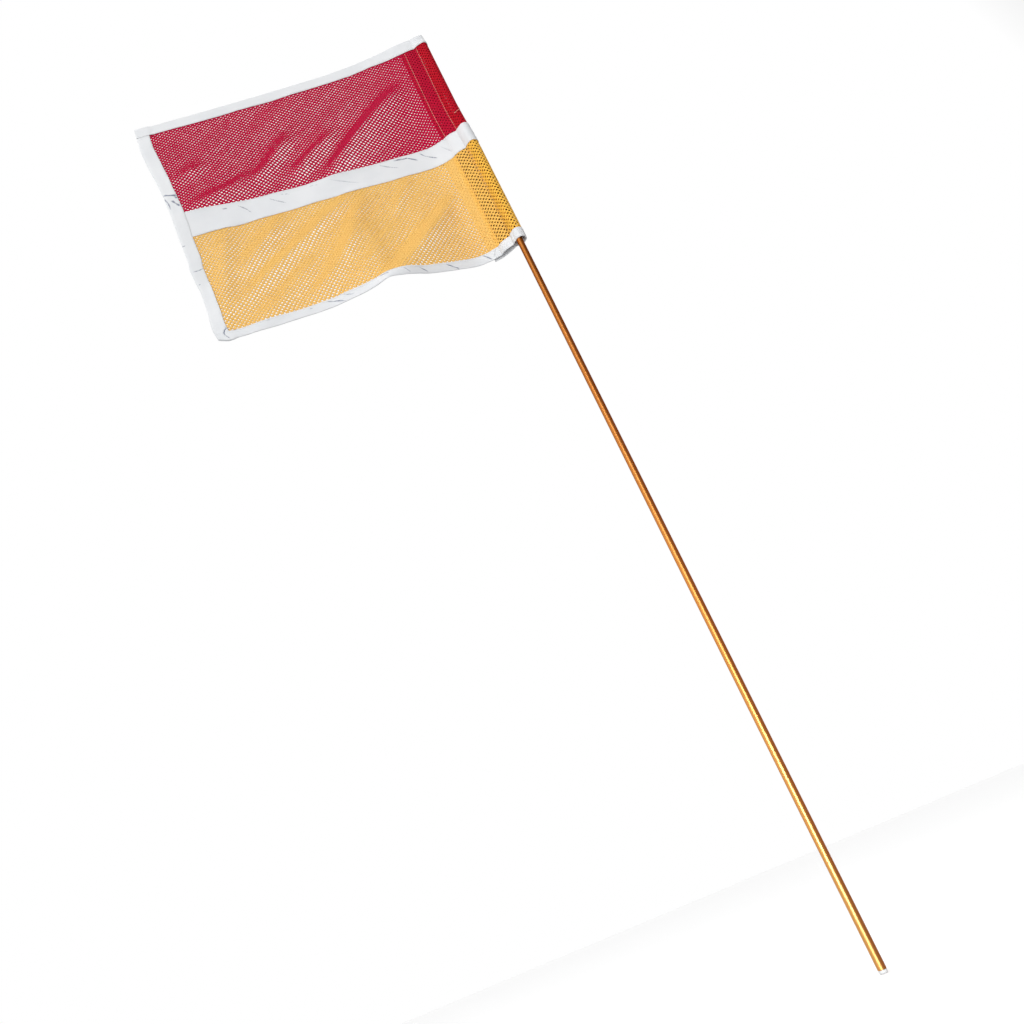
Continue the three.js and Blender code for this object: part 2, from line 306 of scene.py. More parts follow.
def cloth(s, w):
    """Middle of the cloth and its outward normal. s runs from the raw edge inside the hem, up
    the hem's back, round the pole and down its front to the free edge; w is height on the flag.
    Here a is the distance out from the pole and b the distance from the flag's middle."""
    s, w = np.broadcast_arrays(np.asarray(s, float), np.asarray(w, float))
    d = np.abs(s - FOLD_EDGE)
    front = s >= FOLD_EDGE
    gap = HALF + 1.2 * smooth((14.0 - w) / 10.0)
    r, c = pocket_section(w)
    turn = np.arccos((r - HALF) / (POCKET + c))
    arc = r * (math.pi - turn)
    theta = math.pi - np.minimum(d, arc) / r
    side = np.clip((d - arc) / np.maximum(HALF_TURN - arc, 1e-6), 0.0, 1.0)
    over = np.maximum(d - HALF_TURN, 0.0)
    a = -c + r * np.cos(theta) + (POCKET - (-c + r * np.cos(turn))) * side + over
    b = r * np.sin(theta) + (gap - r * np.sin(turn)) * side
    b = b + np.sin(math.pi * side) * (0.5 + 0.25 * np.sin(w / 17.0 + 1.0) + 0.15 * np.sin(w / 6.1))
    na, nb = np.cos(theta), np.sin(theta)
    lean = smooth((side - 0.7) / 0.3)
    na, nb = na * (1 - lean), nb * (1 - lean) + lean
    channel = np.clip((a - POCKET) / (HEM - POCKET), 0.0, 1.0)
    puff = np.where(front, 1.5, 0.5) * smooth((HOIST - 8.0 - w) / 20.0)
    b = b + puff * np.sin(math.pi * channel) * (side >= 1.0)
    edge = hem_edge(w)
    b = np.where(front, b * (1.0 - smooth((a - edge - 1.0) / 20.0)), b)
    # the back layer turns under at the hem's edge and runs back inside it
    turned = np.where(front, 0.0, np.maximum(a - edge, 0.0))
    phi = np.minimum(turned / TURN_R, math.pi)
    inside = turned > 0.0
    a = np.where(inside, edge + TURN_R * np.sin(phi) - np.maximum(turned - math.pi * TURN_R, 0.0), a)
    b = np.where(inside, b - TURN_R * (1.0 - np.cos(phi)), b)
    na = np.where(inside, np.sin(phi), na)
    nb = np.where(inside, np.cos(phi), nb)
    sign = np.where(front, 1.0, -1.0)
    norm = np.hypot(na, nb)
    na, nb, b = (na / norm)[..., None], (nb * sign / norm)[..., None], (b * sign)[..., None]
    p, n, heading = middle(a, w)
    return p + n * b, heading * na + n * nb


def side_of(u, w, front, off):
    """A point off mm out from the flag's front or back face, u out from the pole."""
    u, w, off = np.broadcast_arrays(*(np.asarray(x, float) for x in (u, w, off)))
    p, n = cloth(u, w)
    if front:
        return p + n * off[..., None]
    edge = hem_edge(w)
    step = 2.0 * HALF * (1.0 - smooth((u - edge) / 9.0))
    q = p - n * (off + step)[..., None]
    doubled = u <= edge
    if doubled.any():
        pi, ni = cloth(2.0 * FOLD_EDGE - u[doubled], w[doubled])
        q[doubled] = pi + ni * off[doubled][..., None]
    return q


# --- mesh building ----------------------------------------------------------------------------
def make_object(name, verts_mm, faces, material, **marks):
    """Builds a mesh object from millimetre vertices and a list of face index arrays. marks are
    values per vertex that its material reads."""
    mesh = bpy.data.meshes.new(name)
    verts = np.asarray(verts_mm, float) * MM
    loops = np.concatenate([np.asarray(f, np.int32).ravel() for f in faces])
    sizes = np.concatenate([np.full(len(f), np.asarray(f).shape[1], np.int32) for f in faces])
    starts = np.concatenate([[0], np.cumsum(sizes)[:-1]]).astype(np.int32)
    mesh.vertices.add(len(verts))
    mesh.vertices.foreach_set("co", verts.astype(np.float32).ravel())
    mesh.loops.add(len(loops))
    mesh.loops.foreach_set("vertex_index", loops)
    mesh.polygons.add(len(sizes))
    mesh.polygons.foreach_set("loop_start", starts)
    mesh.polygons.foreach_set("loop_total", sizes)
    mesh.update(calc_edges=True)
    mesh.validate()
    for mark, values in marks.items():
        layer = mesh.attributes.new(mark, "FLOAT", "POINT")
        layer.data.foreach_set("value", np.asarray(values, np.float32))
    mesh.shade_smooth()
    mesh.materials.append(material)
    obj = bpy.data.objects.new(name, mesh)
    bpy.context.scene.collection.objects.link(obj)
    return obj


def boundary_edges(faces):
    """Directed edges that only one face uses."""
    edges = np.concatenate([np.stack([f, np.roll(f, -1, axis=1)], -1).reshape(-1, 2) for f in faces])
    big = int(edges.max()) + 1
    lo, hi = edges.min(1).astype(np.int64), edges.max(1).astype(np.int64)
    key = lo * big + hi
    _, first, count = np.unique(key, return_index=True, return_counts=True)
    return edges[first[count == 1]]


def thick_shell(front, back, faces):
    """Closes two matching skins, one face list between them, into one solid."""
    n = len(front)
    rim = boundary_edges(faces)
    wall = np.stack([rim[:, 1], rim[:, 0], rim[:, 0] + n, rim[:, 1] + n], 1)
    flipped = [np.asarray(f)[:, ::-1] + n for f in faces]
    return np.concatenate([front, back]), list(faces) + flipped + [wall]


def grid_faces(rows, cols, closed=False):
    """Quads over a rows by cols grid of points, row by row."""
    i, j = np.meshgrid(np.arange(rows - 1), np.arange(cols if closed else cols - 1), indexing="ij")
    i, j = i.ravel(), j.ravel()
    k = (j + 1) % cols
    return np.stack([i * cols + j, i * cols + k, (i + 1) * cols + k, (i + 1) * cols + j], 1)


# --- open mesh cloth --------------------------------------------------------------------------
HOLE_ANGLES = np.radians([0.0, 62.0, 118.0, 180.0, 242.0, 298.0])


def opening(s, w, by_slant, near_hem, in_pocket, past_stitch):
    """How open the holes are: more where a fold leans forward at the top, other in the hem."""
    a = np.abs(s - FOLD_EDGE) + FOLD_EDGE
    lean = (look_up(GRID_P, a, w + 2.0) - look_up(GRID_P, a, w - 2.0))[..., 1] / 4.0
    size = 1.0 - by_slant * np.clip(lean / 0.35, -1.0, 1.0) * smooth((a - 30.0) / 16.0)
    size = size * (1.0 - near_hem * smooth((125.0 - a) / 80.0)) * (1.0 + in_pocket * smooth((26.0 - a) / 4.0))
    return size * (1.0 - past_stitch * smooth((a - 23.0) / 3.0) * smooth((40.0 - a) / 3.0))


def net(w0, w1, pitch_s, pitch_w, shear, hole, openings):
    """A staggered net of six-sided holes in the flat: its points and its web faces. The hem's
    two layers have their holes out of step."""
    s0 = FOLD_EDGE - (int((FOLD_EDGE - CUT_EDGE) / pitch_s) + 0.125) * pitch_s
    cols = int((FLY - s0) / (pitch_s / 2.0))
    rows = int((w1 - w0) / pitch_w)
    i, j = np.meshgrid(np.arange(cols + 1), np.arange(rows + 1), indexing="ij")
    w = w0 + (j + 0.5 * (i % 2)) * pitch_w
    s = s0 + i * pitch_s / 2.0
    s = s + shear * (w - (w0 + w1) / 2.0) * smooth((s - HEM) / 70.0)
    keep = (w <= w1) & (s >= raw_edge(w)) & (s <= fly_edge(w) - 2.5)
    keep &= (s >= 2.0 * FOLD_EDGE - hem_edge(w)) | (w > 13.0)  # cut away where the mouth would show it
    ident = -np.ones_like(i)
    ident[keep] = np.arange(keep.sum())
    cs, cw = s[keep], w[keep]
    size = hole * opening(cs, cw, *openings) * (1.0 + 0.06 * rng.standard_normal(len(cs)))
    wide = 1.0 + 0.05 * rng.standard_normal(len(cs))
    ps = cs[:, None] + (size * wide)[:, None] * np.cos(HOLE_ANGLES) * 1.06
    pw = cw[:, None] + (size / wide)[:, None] * np.sin(HOLE_ANGLES)
    points = np.stack([ps.ravel(), pw.ravel()], -1)

    def neighbour(di, up):
        """Index of the hole half a pitch up or down in the next column, or in the same one."""
        ni = i + di
        nj = j + up if di == 0 else j + (i % 2) + (0 if up > 0 else -1)
        ok = keep & (ni >= 0) & (ni <= cols) & (nj >= 0) & (nj <= rows)
        out = -np.ones_like(ident)
        out[ok] = ident[ni[ok], nj[ok]]
        return out

    here, up, upper, lower = ident, neighbour(0, 1), neighbour(1, 1), neighbour(1, -1)

    def corners(parts, picks):
        ok = np.logical_and.reduce([m >= 0 for m in parts])
        return np.stack([m[ok] * 6 + k for m, k in picks], 1)

    quads = [
        corners([here, up], [(here, 2), (here, 1), (up, 5), (up, 4)]),
        corners([here, upper], [(here, 1), (here, 0), (upper, 4), (upper, 3)]),
        corners([here, lower], [(here, 0), (here, 5), (lower, 3), (lower, 2)]),
    ]
    tris = [
        corners([here, upper, up], [(here, 1), (upper, 3), (up, 5)]),
        corners([here, upper, lower], [(here, 0), (lower, 2), (upper, 4)]),
    ]
    return points, [np.concatenate(quads), np.concatenate(tris)]


def mesh_cloth(name, w0, w1, pitch_s, pitch_w, shear, hole, openings, thick, material):
    """One sheet of open mesh from height w0 to w1, laid along the cloth with its holes cut through."""
    points, faces = net(w0, w1, pitch_s, pitch_w, shear, hole, openings)
    used = np.unique(np.concatenate([f.ravel() for f in faces]))
    renumber = -np.ones(len(points), int)
    renumber[used] = np.arange(len(used))
    points, faces = points[used], [renumber[f] for f in faces]
    p, n = cloth(points[:, 0], points[:, 1])
    verts, shell = thick_shell(p + n * thick / 2, p - n * thick / 2, faces)
    a = np.abs(points[:, 0] - FOLD_EDGE) + FOLD_EDGE
    hidden = smooth((28.0 - a) / 6.0)  # painted shade on the skin inside the hem, where little light gets in
    # how purely coloured the cloth is: most round the pole, less in the rest of the hem
    snug = 0.55 * smooth((12.0 - a) / 6.0) + 0.45 * smooth((30.0 - a) / 4.0)
    return make_object(name, verts, shell, material, hidden=np.concatenate([0.0 * hidden, hidden]),
                       snug=np.concatenate([snug, snug]))


# --- tape -------------------------------------------------------------------------------------
# Creases in the tape: depth, width, darkness, then the places it runs through, out and up. The
# places are mostly another program's output, hardly changed.
# The darkness is a painted dark reflection along each crease.
CREASES = (
    (1.0, 1.6, 1.0, (334, 210), (327, 208), (320, 206)),
    (0.8, 1.3, 1.0, (323, 206), (321, 201)),
    (0.9, 1.6, 0.9, (327, 200), (323, 194), (319, 188)),
    (0.6, 0.7, 0.8, (335, 209), (331, 197), (329, 184)),
    (0.6, 0.8, 0.8, (280, 171), (272, 169)),
    (0.9, 0.8, 0.8, (262, 170), (256, 164), (251, 156)),
    (0.8, 0.8, 0.7, (228, 168), (221, 162), (213, 156)),
    (0.5, 0.7, 0.4, (215, 170), (206, 167)),
    (0.4, 0.7, 0.35, (186, 170), (174, 168)),
    (0.8, 1.4, 0.3, (161, 170), (146, 161), (132, 153)),
    (0.8, 0.9, 0.6, (105, 171), (97, 165), (86, 159)),
    (1.0, 1.1, 1.0, (88, 171), (78, 170), (72, 169), (63, 162)),
    (1.0, 0.9, 0.9, (58, 171), (54, 165), (48, 160), (42, 155)),
    (0.7, 1.2, 0.25, (34, 168), (24, 150)),
    (1.1, 1.0, 0.9, (46, 10), (38, 0)),
    (1.0, 0.9, 0.9, (87, 8), (75, 0)),
    (0.8, 0.9, 0.8, (116, 7), (108, 1)),
    (0.6, 0.9, 0.5, (132, 8), (127, 1)),
    (0.8, 1.6, 0.5, (157, 8), (147, 6)),
    (0.6, 0.8, 0.6, (198, 8), (188, 3)),
    (0.9, 0.9, 0.9, (216, 8), (207, 4), (199, 0)),
    (0.4, 0.7, 0.7, (235, 6), (232, 6)),
    (0.4, 0.7, 0.7, (278, 8), (275, 8)),
    (0.5, 0.8, 0.8, (313, 10), (308, 9)),
    (0.8, 0.9, 0.4, (30, 13), (34, 2)),
    (0.8, 0.8, 1.0, (318, 17), (316, 14), (319, 12), (321, 8), (320, 4), (318, 0)),
    (0.6, 0.8, 0.9, (331, 131), (327, 130)),
    (0.6, 0.8, 0.8, (330, 94), (324, 94), (317, 96)),
    (0.4, 0.7, 0.8, (330, 76), (328, 76)),
)


def creased(u, w):
    """Height of the creases at a place on the tape, and how dark their painted reflection is there."""
    lift = 0.10 * ripple(u, w, 11, 15.0, 1.2, 60.0) + 0.05 * ripple(u, w, 12, 6.0, 1.0, 20.0)
    shade = np.zeros_like(u + w)
    for deep, width, dark, *route in CREASES:
        route = np.array(route, float)
        legs = np.linalg.norm(np.diff(route, axis=0), axis=1)
        gone = np.concatenate([[0.0], np.cumsum(legs)])
        near = (np.abs(u - route[:, 0].mean()) < 30.0) & (np.abs(w - route[:, 1].mean()) < 30.0)
        at_u, at_w = u[near], w[near]
        best, share = np.full(at_u.shape, 99.0), np.zeros(at_u.shape)
        for k, leg in enumerate(legs):
            head = (route[k + 1] - route[k]) / leg
            run = np.clip((at_u - route[k, 0]) * head[0] + (at_w - route[k, 1]) * head[1], 0.0, leg)
            off_u, off_w = at_u - route[k, 0] - run * head[0], at_w - route[k, 1] - run * head[1]
            away = np.hypot(off_u, off_w)
            closer = away < np.abs(best)
            best = np.where(closer, away * np.sign(head[0] * off_w - head[1] * off_u), best)
            share = np.where(closer, (gone[k] + run) / gone[-1], share)
        taper = np.clip(1.15 - (2.0 * share - 1.0) ** 4, 0.0, 1.0)
        thick = width * (0.75 + 0.25 * np.sin(share * 9.0 + route[0, 0]))
        lift[near] += taper * deep * 0.5 * (np.exp(-((best / 2.2) ** 2)) - 1.5 * np.exp(-((best / 0.9) ** 2)))
        shade[near] = np.maximum(shade[near], dark * taper * np.exp(-((best / (0.8 * thick)) ** 4)))
    return lift, shade


def tape_height(u, w, layer):
    """How far a tape's middle is off the cloth's, and the painted dark reflection in its creases."""
    lift, shade = creased(u, w)
    return layer + np.maximum(lift + 0.2, 0.0), shade


def vertex_normals(points, quads):
    a, b, c, d = (points[quads[:, k]] for k in range(4))
    flat = np.cross(c - a, d - b)
    n = np.zeros_like(points)
    for k in range(4):
        np.add.at(n, quads[:, k], flat)
    return n / np.maximum(np.linalg.norm(n, axis=1, keepdims=True), 1e-12)


def tape_object(name, grid, shade, material):
    """A thin closed tape from a grid of places on its middle face."""
    quads = grid_faces(*shade.shape)
    points, shade = grid.reshape(-1, 3), shade.ravel()
    normals = vertex_normals(points, quads)
    verts, shell = thick_shell(points + normals * TAPE / 2, points - normals * TAPE / 2, [quads])
    return make_object(name, verts, shell, material, crease=np.concatenate([shade, shade]))


def on_faces(u, w, front, off_front, off_back):
    """Places off the flag's front where front is true, and off its back elsewhere."""
    points = np.empty(u.shape + (3,))
    points[front] = side_of(u[front], w[front], True, off_front[front])
    points[~front] = side_of(u[~front], w[~front], False, off_back[~front])
    return points


def round_pole(end, fine=0.6, coarse=0.9):
    """Places along both faces of the flag, from one free end round the pole to the other."""
    near = HEM_EDGE + 3.0
    front = np.concatenate([np.arange(FOLD_EDGE, near, fine), np.arange(near, end, coarse), [end]])
    back = 2.0 * FOLD_EDGE - front[:0:-1]
    return np.concatenate([back, front])


def band_tape(name, material):
    """The middle band: one tape down the front, round the pole and back along the rear."""
    s = round_pole(float(fly_edge(SEAM)) - 2.5)
    u = np.where(s >= FOLD_EDGE, s, 2 * FOLD_EDGE - s)
    t = np.linspace(0.0, 1.0, 27)
    uu = np.repeat(u[:, None], len(t), 1)
    ww = band_low(u)[:, None] * (1 - t) + band_high(u)[:, None] * t
    off, shade = tape_height(uu, ww, ON_CLOTH)
    front = np.repeat((s >= FOLD_EDGE)[:, None], len(t), 1)
    return tape_object(name, on_faces(uu, ww, front, off, off), shade, material)


def edge_layer(u, w):
    """An edge tape lies on the cloth, and on the free edge's tape at its end."""
    return ON_CLOTH + (ON_FLY - ON_CLOTH) * smooth((u - fly_edge(w) + fly_width(w) + 5.0) / 5.0)


OVER_EDGE = np.radians([30.0, 60.0, 90.0, 120.0, 150.0])  # the turn from the front to the back


def across_edge(legs):
    """Places across a folded tape: how far in from the edge, and how far turned to the back."""
    rows = np.concatenate([legs[::-1], 0 * OVER_EDGE, legs])
    return rows, np.concatenate([0 * legs, OVER_EDGE, 0 * legs + math.pi])


def folded(name, u, legs, place, layer, material):
    """Tape folded over an edge. place(u, leg) gives (u, w) on the flag, leg in from the edge."""
    rows, roll = across_edge(legs)
    uu, dd = np.repeat(u[:, None], len(rows), 1), np.repeat(rows[None, :], len(u), 0)
    pu, pw = place(uu, dd)
    rise, shade = tape_height(pu, pw, 0.0)
    calm = np.clip(dd / 2.5, 0.0, 1.0)
    thick = layer(pu, pw)
    off = (thick + rise * calm) * np.cos(roll)[None, :]
    out = thick * np.sin(roll)[None, :]
    front = np.repeat((np.cos(roll) > -1e-6)[None, :], len(u), 0)
    ou, ow = place(uu, dd - out)
    return tape_object(name, on_faces(ou, ow, front, off, -off), shade, material)


def mouth_tape(name, s, legs, material):
    """Tape folded over the lower edge of the cloth, which leaves the pocket open round the pole."""
    rows, roll = across_edge(legs)
    share = rows / legs[-1]
    u = np.abs(s - FOLD_EDGE) + FOLD_EDGE
    clipped = np.maximum(0.0, 5.0 * smooth((u - 318.0) / 14.0))
    ww = foot_width(u)[:, None] * share[None, :] + clipped[:, None] * (1.0 - share[None, :])
    ss = np.repeat(s[:, None], len(share), 1)
    uu = np.repeat(u[:, None], len(share), 1)
    rise, shade = tape_height(uu, ww, 0.0)
    thick = edge_layer(uu, ww)
    single = np.repeat((s > HEM_EDGE + 4.0)[:, None], len(share), 1)
    rise = rise * np.clip(ww / 2.5, 0.0, 1.0) * np.where((roll[None, :] > 3.0) & ~single, 0.3, 1.0)
    off = (thick + rise) * np.cos(roll)[None, :]
    p, n = cloth(ss, ww - thick * np.sin(roll)[None, :])
    return tape_object(name, p + n * off[..., None], shade, material)


# --- thread -----------------------------------------------------------------------------------
def stitches(name, places, length, radius, material):
    """A row of separate stitches. places is a list of (middle, direction, up) in millimetres."""
    rings = np.array([-1.0, -0.86, -0.5, 0.0, 0.5, 0.86, 1.0])
    girth = np.array([0.25, 0.75, 1.0, 1.05, 1.0, 0.75, 0.25])
    sink = np.array([-0.9, -0.35, 0.1, 0.25, 0.1, -0.35, -0.9])
    turn = np.linspace(0, 2 * math.pi, 7)[:-1]
    mid, along, up = places
    across = np.cross(along, up)
    k = len(mid)
    pts = np.empty((k, len(rings), len(turn), 3))
    for a, (t, g, z) in enumerate(zip(rings, girth, sink)):
        centre = mid + along * (t * length / 2) + up * (z * radius)
        for b, angle in enumerate(turn):
            pts[:, a, b] = centre + (across * math.cos(angle) + up * math.sin(angle)) * radius * g
    one = grid_faces(len(rings), len(turn), closed=True)
    base = np.arange(k)[:, None, None] * (len(rings) * len(turn))
    quads = (one[None] + base).reshape(-1, 4)
    cap = np.arange(len(turn))[None, None]
    caps = np.concatenate([(cap[..., ::-1] + base).reshape(-1, len(turn)),
                           (cap + (len(rings) - 1) * len(turn) + base).reshape(-1, len(turn))])
    return make_object(name, pts.reshape(-1, 3), [quads[:, ::-1], caps[:, ::-1]], material)


def seam(route, layer, front, pitch):
    """Stitch places along a line on the flag. route(t) gives (u, w) for t from 0 to 1."""
    u, w = route(np.linspace(0.0, 1.0, 60))
    count = int(np.hypot(np.diff(u), np.diff(w)).sum() / pitch)
    t = (np.arange(count) + 0.5) / count
    here, there = route(t), route(t + 0.3 / count)
    off = tape_height(*here, layer)[0] + TAPE / 2 + 0.06 if layer > 0 else 0.5 + 0 * t
    a, b, c = side_of(*here, front, off), side_of(*there, front, off), side_of(*here, front, off + 1.0)
    along = (b - a) / np.linalg.norm(b - a, axis=1, keepdims=True)
    up = c - a
    up = up - along * (up * along).sum(1, keepdims=True)
    return a, along, up / np.linalg.norm(up, axis=1, keepdims=True)


def joined(*rows):
    return tuple(np.concatenate(parts) for parts in zip(*rows))


def swept(name, points, radius, material):
    """A thin round thread along a smooth open line, closed at its ends."""
    heading = np.gradient(points, axis=0)
    heading /= np.linalg.norm(heading, axis=1, keepdims=True)
    side = np.cross(heading, np.array([0.3, -1.0, 0.2]))
    side /= np.linalg.norm(side, axis=1, keepdims=True)
    up = np.cross(side, heading)
    turn = np.linspace(0, 2 * math.pi, 9)[:-1]
    end = np.minimum(np.arange(len(points)), np.arange(len(points))[::-1])
    girth = radius * np.sqrt(np.clip((end + 0.3) / 2.0, 0.0, 1.0))
    ring = side[:, None] * np.cos(turn)[None, :, None] + up[:, None] * np.sin(turn)[None, :, None]
    verts = points[:, None] + ring * girth[:, None, None]
    cap = np.arange(len(turn))[None]
    last = (len(points) - 1) * len(turn)
    faces = [grid_faces(len(points), len(turn), closed=True)[:, ::-1], cap, cap[:, ::-1] + last]
    return make_object(name, verts.reshape(-1, 3), faces, material)


# --- materials --------------------------------------------------------------------------------
def new_material(name, color, roughness, **inputs):
    mat = bpy.data.materials.new(name)
    mat.use_nodes = True
    shader = mat.node_tree.nodes["Principled BSDF"]
    shader.inputs["Base Color"].default_value = (*color, 1.0)
    shader.inputs["Roughness"].default_value = roughness
    for key, value in inputs.items():
        shader.inputs[key.replace("_", " ")].default_value = value
    return mat, mat.node_tree, shader


def node(tree, kind, inputs=None, **settings):
    made = tree.nodes.new(kind)
    for key, value in settings.items():
        setattr(made, key, value)
    for key, value in (inputs or {}).items():
        if isinstance(value, bpy.types.NodeSocket):
            tree.links.new(value, made.inputs[key])
        else:
            made.inputs[key].default_value = value
    return made


def position(tree):
    return node(tree, "ShaderNodeTexCoord").outputs["Object"]


def noise(tree, vector, scale, detail=3.0, roughness=0.5):
    return node(tree, "ShaderNodeTexNoise", {"Vector": vector, "Scale": scale, "Detail": detail,
                                             "Roughness": roughness}).outputs["Fac"]


def ramp(tree, fac, stops):
    made = node(tree, "ShaderNodeValToRGB", {"Fac": fac})
    points = made.color_ramp.elements
    points[0].position, points[0].color = stops[0][0], (*stops[0][1], 1.0)
    points[1].position, points[1].color = stops[-1][0], (*stops[-1][1], 1.0)
    for place, color in stops[1:-1]:
        points.new(place).color = (*color, 1.0)
    return made.outputs["Color"]


def bump(tree, height, strength, distance):
    return node(tree, "ShaderNodeBump", {"Height": height, "Strength": strength,
                                         "Distance": distance}).outputs["Normal"]


def mixed_color(tree, share, under, over_it):
    return node(tree, "ShaderNodeMix", {"Factor": share, "A": under, "B": over_it},
                data_type="RGBA").outputs["Result"]


def vertex_mark(tree, name):
    """A value per vertex that its mesh was made with."""
    return node(tree, "ShaderNodeAttribute", attribute_name=name).outputs["Fac"]


def stretched(tree, vector, scale):
    return node(tree, "ShaderNodeMapping", {"Vector": vector, "Scale": scale}).outputs["Vector"]


def fabric(name, web, shade, light, low_fold, taut, inner, thread_scale):
    """Knitted polyester: yarns plaited along the webs, each with its own tone, and a soft drift
    of colour over the cloth; purer round the pole, and with painted shade inside the hem."""
    mat, tree, shader = new_material(name, web, 0.7, Specular_IOR_Level=0.08)
    at = position(tree)
    drift = noise(tree, stretched(tree, at, (11.0, 11.0, 17.0)), 1.0, 2.0)
    yarn = node(tree, "ShaderNodeTexWave", {"Vector": at, "Scale": thread_scale, "Distortion": 5.0,
                                            "Detail": 2.0, "Detail Scale": 1.4}, bands_direction="DIAGONAL")
    fine = noise(tree, at, 1100.0, 2.0)
    tone = node(tree, "ShaderNodeMix", {"Factor": 0.55, "A": yarn.outputs["Fac"], "B": fine},
                data_type="FLOAT")
    color = ramp(tree, tone.outputs["Result"], [(0.25, shade), (0.5, web), (0.8, light)])
    mask = node(tree, "ShaderNodeMapRange", {"Value": drift, "From Min": 0.35, "From Max": 0.75,
                                             "To Max": 0.35})
    color = mixed_color(tree, mask.outputs["Result"], color, (*low_fold, 1.0))
    color = mixed_color(tree, vertex_mark(tree, "snug"), color, (*taut, 1.0))
    # painted shade: the skin inside the hem is darkened towards the inner colour
    color = mixed_color(tree, vertex_mark(tree, "hidden"), color, (*inner, 1.0))
    tree.links.new(color, shader.inputs["Base Color"])
    loops = node(tree, "ShaderNodeTexVoronoi", {"Vector": at, "Scale": 1500.0})
    height = node(tree, "ShaderNodeMath", {0: yarn.outputs["Fac"], 1: loops.outputs["Distance"]},
                  operation="ADD")
    tree.links.new(bump(tree, height.outputs["Value"], 0.6, 0.00022), shader.inputs["Normal"])
    rough = node(tree, "ShaderNodeMapRange", {"Value": fine, "To Min": 0.6, "To Max": 0.85})
    tree.links.new(rough.outputs["Result"], shader.inputs["Roughness"])
    return mat


def tape_material(name):
    """Smooth coated tape: nearly white, faintly blue, with a painted dark reflection in its sharp creases."""
    mat, tree, shader = new_material(name, (0.8, 0.82, 0.85), 0.36, Specular_IOR_Level=0.35)
    at = position(tree)
    soft = noise(tree, at, 30.0, 3.0)
    base = ramp(tree, soft, [(0.35, (0.665, 0.68, 0.70)), (0.65, (0.705, 0.715, 0.73))])
    grain = node(tree, "ShaderNodeMapRange", {"Value": noise(tree, at, 420.0, 4.0), "From Min": 0.3,
                                              "From Max": 0.6, "To Min": 0.55, "To Max": 1.15})
    broken = node(tree, "ShaderNodeMath", {0: vertex_mark(tree, "crease"), 1: grain.outputs["Result"]},
                  operation="MULTIPLY")
    mask = node(tree, "ShaderNodeMapRange", {"Value": broken.outputs["Value"], "From Min": 0.06,
                                             "From Max": 0.85})
    # painted reflection: the creases are darkened towards a dark blue-grey, for the dark surroundings they
    # reflect
    dark = [(0.4, (0.055, 0.065, 0.14)), (0.62, (0.14, 0.17, 0.24))]
    crease_reflection = ramp(tree, noise(tree, at, 210.0, 2.0), dark)
    color = mixed_color(tree, mask.outputs["Result"], base, crease_reflection)
    tree.links.new(color, shader.inputs["Base Color"])
    weave = node(tree, "ShaderNodeTexVoronoi", {"Vector": at, "Scale": 1300.0}, feature="SMOOTH_F1")
    swell = noise(tree, at, 120.0, 3.0)
    height = node(tree, "ShaderNodeMath", {0: weave.outputs["Distance"], 1: 0.25, 2: swell},
                  operation="MULTIPLY_ADD")
    tree.links.new(bump(tree, height.outputs["Value"], 0.35, 0.0004), shader.inputs["Normal"])
    rough = node(tree, "ShaderNodeMapRange", {"Value": swell, "To Min": 0.28, "To Max": 0.48})
    tree.links.new(rough.outputs["Result"], shader.inputs["Roughness"])
    return mat


def thread_material(name, color):
    mat, tree, shader = new_material(name, color, 0.55, Sheen_Weight=0.2)
    at = position(tree)
    twist = node(tree, "ShaderNodeTexWave", {"Vector": at, "Scale": 1700.0, "Distortion": 1.5},
                 bands_direction="DIAGONAL")
    tree.links.new(bump(tree, twist.outputs["Fac"], 0.6, 0.0001), shader.inputs["Normal"])
    shade = tuple(0.8 * c for c in color)
    tone = ramp(tree, twist.outputs["Fac"], [(0.1, shade), (0.8, color)])
    tree.links.new(tone, shader.inputs["Base Color"])
    return mat


def pole_material(name):
    """Gold-coloured plating over a drawn tube: fine draw lines, and a painted darker, redder reflection
    towards the flag.
    """
    mat, tree, shader = new_material(name, (0.8, 0.4, 0.12), 0.34, Metallic=1.0,
                                     Specular_Tint=(0.22, 0.10, 0.03, 1.0))
    at = position(tree)
    height = node(tree, "ShaderNodeSeparateXYZ", {"Vector": at}).outputs["Z"]
    cloudy = noise(tree, stretched(tree, at, (60.0, 60.0, 9.0)), 1.0, 4.0)
    where = node(tree, "ShaderNodeMath", {0: cloudy, 1: 0.16, 2: height}, operation="MULTIPLY_ADD")
    # painted reflection: the colour darkens and reddens with height, standing in for the darker surroundings
    # reflected near the flag
    color = ramp(tree, where.outputs["Value"], [
        (0.12, (0.86, 0.42, 0.13)), (0.38, (0.72, 0.29, 0.072)),
        (0.60, (0.50, 0.18, 0.042)), (0.80, (0.38, 0.135, 0.03))])
    lines = noise(tree, stretched(tree, at, (2600.0, 2600.0, 14.0)), 1.0, 3.0, 0.6)
    specks = node(tree, "ShaderNodeTexVoronoi", {"Vector": at, "Scale": 260.0})
    worn = node(tree, "ShaderNodeMapRange", {"Value": specks.outputs["Distance"], "From Min": 0.0,
                                             "From Max": 0.12, "To Min": 1.0, "To Max": 0.0})
    spots = node(tree, "ShaderNodeMath", {0: worn.outputs["Result"], 1: 0.35}, operation="MULTIPLY")
    shown = mixed_color(tree, spots.outputs["Value"], color, (0.42, 0.24, 0.1, 1.0))
    tree.links.new(shown, shader.inputs["Base Color"])
    tree.links.new(bump(tree, lines, 0.35, 0.00006), shader.inputs["Normal"])
    rough = node(tree, "ShaderNodeMapRange", {"Value": lines, "To Min": 0.28, "To Max": 0.46})
    tree.links.new(rough.outputs["Result"], shader.inputs["Roughness"])
    return mat


